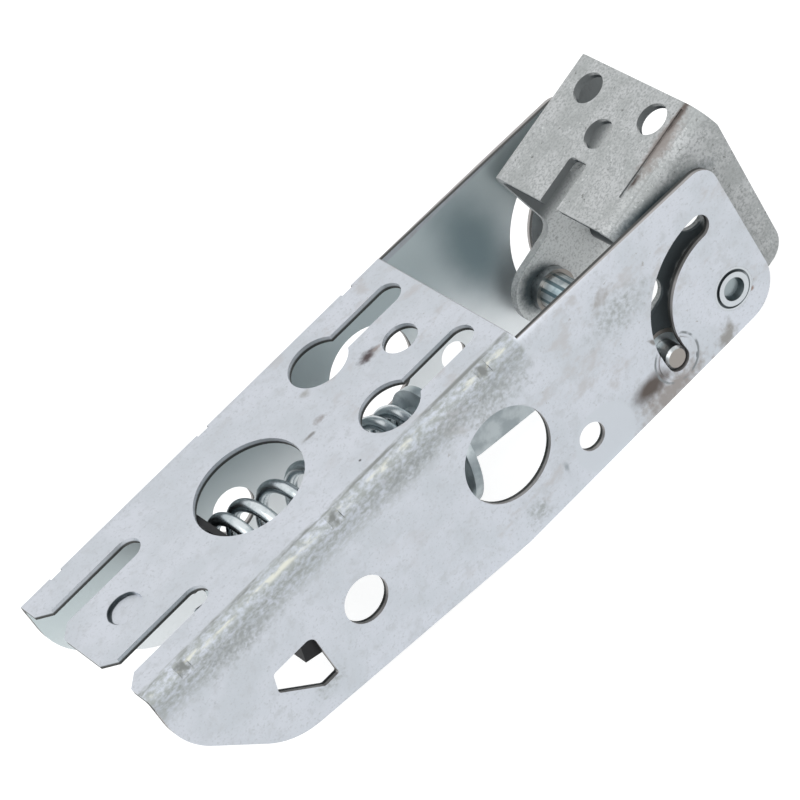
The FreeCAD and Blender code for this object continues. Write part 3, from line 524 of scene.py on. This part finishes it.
def rod_steel():
    """Plated flat bar, blanked from strip: grey with a dull, even sheen."""
    material, tree, place, shader = start_material("plated_flat_bar")
    clouds = blotches(tree, place, 4.0, 0.4, 0.65)
    colour = paint(tree, "#c6ced1", "#a7b0b4", clouds)
    finish_shader(tree, shader, place, colour, 0.4, [(1.0, 0.015, 2.0)])
    return material


def spring_steel():
    """Drawn spring wire, plated blue white, with painted shade in teal where the turns face
    each other."""
    material, tree, place, shader = start_material("plated_spring_wire")
    facing = add_node(tree, "ShaderNodeTexCoord").outputs["Normal"]
    clouds = blotches(tree, place, 3.0, 0.4, 0.65)
    colour = paint(tree, "#d7dee1", "#bcc6ca", clouds)
    # Painted shade where the turns face each other
    turn_face_shade = along(tree, unsigned(tree, facing), SPRING_AXIS)
    colour = paint(tree, colour, "#55656c", rise(tree, turn_face_shade, 0.68, 0.92, 1))
    finish_shader(tree, shader, place, colour, 0.27, [(1.6, 0.01, 2.0)])
    return material


def black_plastic():
    """Moulded nylon with soot-black pigment and a faint spark-eroded grain."""
    material, tree, place, shader = start_material("moulded_black_nylon")
    clouds = blotches(tree, place, 3.0, 0.4, 0.65)
    colour = paint(tree, "#1b1c1e", "#242527", clouds)
    shader.inputs["Specular IOR Level"].default_value = 0.25
    finish_shader(tree, shader, place, colour, 0.5, [(0.5, 0.01, 2.0)], metallic=0.0)
    return material


FINISHES = {
    zinc_sheet: ["housing"],
    dipped_sheet: ["door_bracket"],
    bright_steel: [
        "pivot_rivet",
        "pivot_washer_near",
        "pivot_washer_far",
        "cross_pin",
        "eye_bush_near",
        "eye_bush_far",
    ],
    sleeve_steel_with_painted_reflection: ["pin_sleeve_near", "pin_sleeve_far"],
    rod_steel: ["guide_rod", "spring_cup"],
    spring_steel: ["spring"],
    black_plastic: ["spring_abutment"],
}


def finish_nodes(nodes):
    """Gives every CAD node its material."""
    for make, names in FINISHES.items():
        material = make()
        for name in names:
            data = nodes[name].data
            data.materials.clear()
            data.materials.append(material)


def make_floor():
    """A pale grey table under the hinge, which its glow whitens to the camera and, less
    so, in reflections."""
    mesh = bmesh.new()
    bmesh.ops.create_grid(mesh, x_segments=1, y_segments=1, size=FLOOR_SIZE)
    bmesh.ops.translate(mesh, verts=mesh.verts, vec=(0, 0, FLOOR_Z * MM))
    data = bpy.data.meshes.new("floor")
    mesh.to_mesh(data)
    mesh.free()
    floor = bpy.data.objects.new("floor", data)
    bpy.context.scene.collection.objects.link(floor)
    material = bpy.data.materials.new("white_table")
    material.use_nodes = True
    tree = material.node_tree
    tree.nodes.clear()
    path = add_node(tree, "ShaderNodeLightPath")
    mirrored = add_node(
        tree,
        "ShaderNodeMath",
        {"operation": "MULTIPLY", 1: FLOOR_MIRRORED},
        {0: path.outputs["Is Glossy Ray"]},
    ).outputs["Value"]
    lift = add_node(
        tree,
        "ShaderNodeMath",
        {"operation": "MULTIPLY_ADD", 1: FLOOR_SEEN},
        {0: path.outputs["Is Camera Ray"], 2: mirrored},
    ).outputs["Value"]
    paper = add_node(tree, "ShaderNodeBsdfDiffuse", {"Color": linear("#a4a5a5")})
    glow = add_node(
        tree, "ShaderNodeEmission", {"Color": linear("#ffffff")}, {"Strength": lift}
    )
    lit = add_node(
        tree,
        "ShaderNodeAddShader",
        links={0: paper.outputs["BSDF"], 1: glow.outputs["Emission"]},
    )
    add_node(tree, "ShaderNodeOutputMaterial", links={"Surface": lit.outputs["Shader"]})
    data.materials.append(material)


def make_world():
    """A white room: plain soft light, white to the camera and to reflections."""
    world = bpy.data.worlds.new("white_room")
    bpy.context.scene.world = world
    world.use_nodes = True
    tree = world.node_tree
    tree.nodes.clear()
    path = add_node(tree, "ShaderNodeLightPath")
    seen = both(tree, path.outputs["Is Camera Ray"], path.outputs["Is Glossy Ray"], "ADD")
    seen = both(tree, seen, path.outputs["Is Transmission Ray"], "ADD")
    strength = add_node(
        tree,
        "ShaderNodeMapRange",
        {"To Min": ROOM_LIGHT, "To Max": ROOM_SEEN},
        {"Value": seen},
    )
    room = add_node(
        tree,
        "ShaderNodeBackground",
        {"Color": linear("#ffffff")},
        {"Strength": strength.outputs["Result"]},
    )
    add_node(tree, "ShaderNodeOutputWorld", links={"Surface": room.outputs["Background"]})


def make_lamp(name, place, size, power):
    """A soft box that looks at the middle of the hinge."""
    middle = Vector(HINGE_MIDDLE) * MM
    data = bpy.data.lights.new(name, "AREA")
    data.shape = "SQUARE"
    data.size = size
    data.energy = power
    lamp = bpy.data.objects.new(name, data)
    lamp.location = place
    lamp.rotation_mode = "QUATERNION"
    lamp.rotation_quaternion = (middle - lamp.location).to_track_quat("-Z", "Y")
    bpy.context.scene.collection.objects.link(lamp)


def make_camera():
    """The camera of the photograph."""
    data = bpy.data.cameras.new("camera")
    data.sensor_width = SENSOR_WIDTH
    data.lens = FOCAL_PIXELS * SENSOR_WIDTH / IMAGE_PIXELS
    data.clip_start, data.clip_end = CLIP_NEAR, CLIP_FAR
    camera = bpy.data.objects.new("camera", data)
    axes = Matrix(
        (CAMERA_RIGHT, [-c for c in CAMERA_DOWN], [-c for c in CAMERA_FORWARD])
    ).transposed()
    camera.matrix_world = Matrix.Translation(Vector(CAMERA_PLACE) * MM) @ axes.to_4x4()
    bpy.context.scene.collection.objects.link(camera)
    bpy.context.scene.camera = camera


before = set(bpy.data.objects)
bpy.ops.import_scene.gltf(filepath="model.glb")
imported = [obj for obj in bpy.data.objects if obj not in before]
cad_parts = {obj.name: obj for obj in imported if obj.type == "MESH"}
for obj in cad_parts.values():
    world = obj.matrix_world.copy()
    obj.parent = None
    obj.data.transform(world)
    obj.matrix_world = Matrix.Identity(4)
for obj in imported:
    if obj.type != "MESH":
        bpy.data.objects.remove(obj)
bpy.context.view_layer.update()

bpy.context.scene.view_settings.view_transform = "Standard"
make_camera()
make_floor()
make_world()
for box in SOFT_BOXES:
    make_lamp(*box)
finish_nodes(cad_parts)
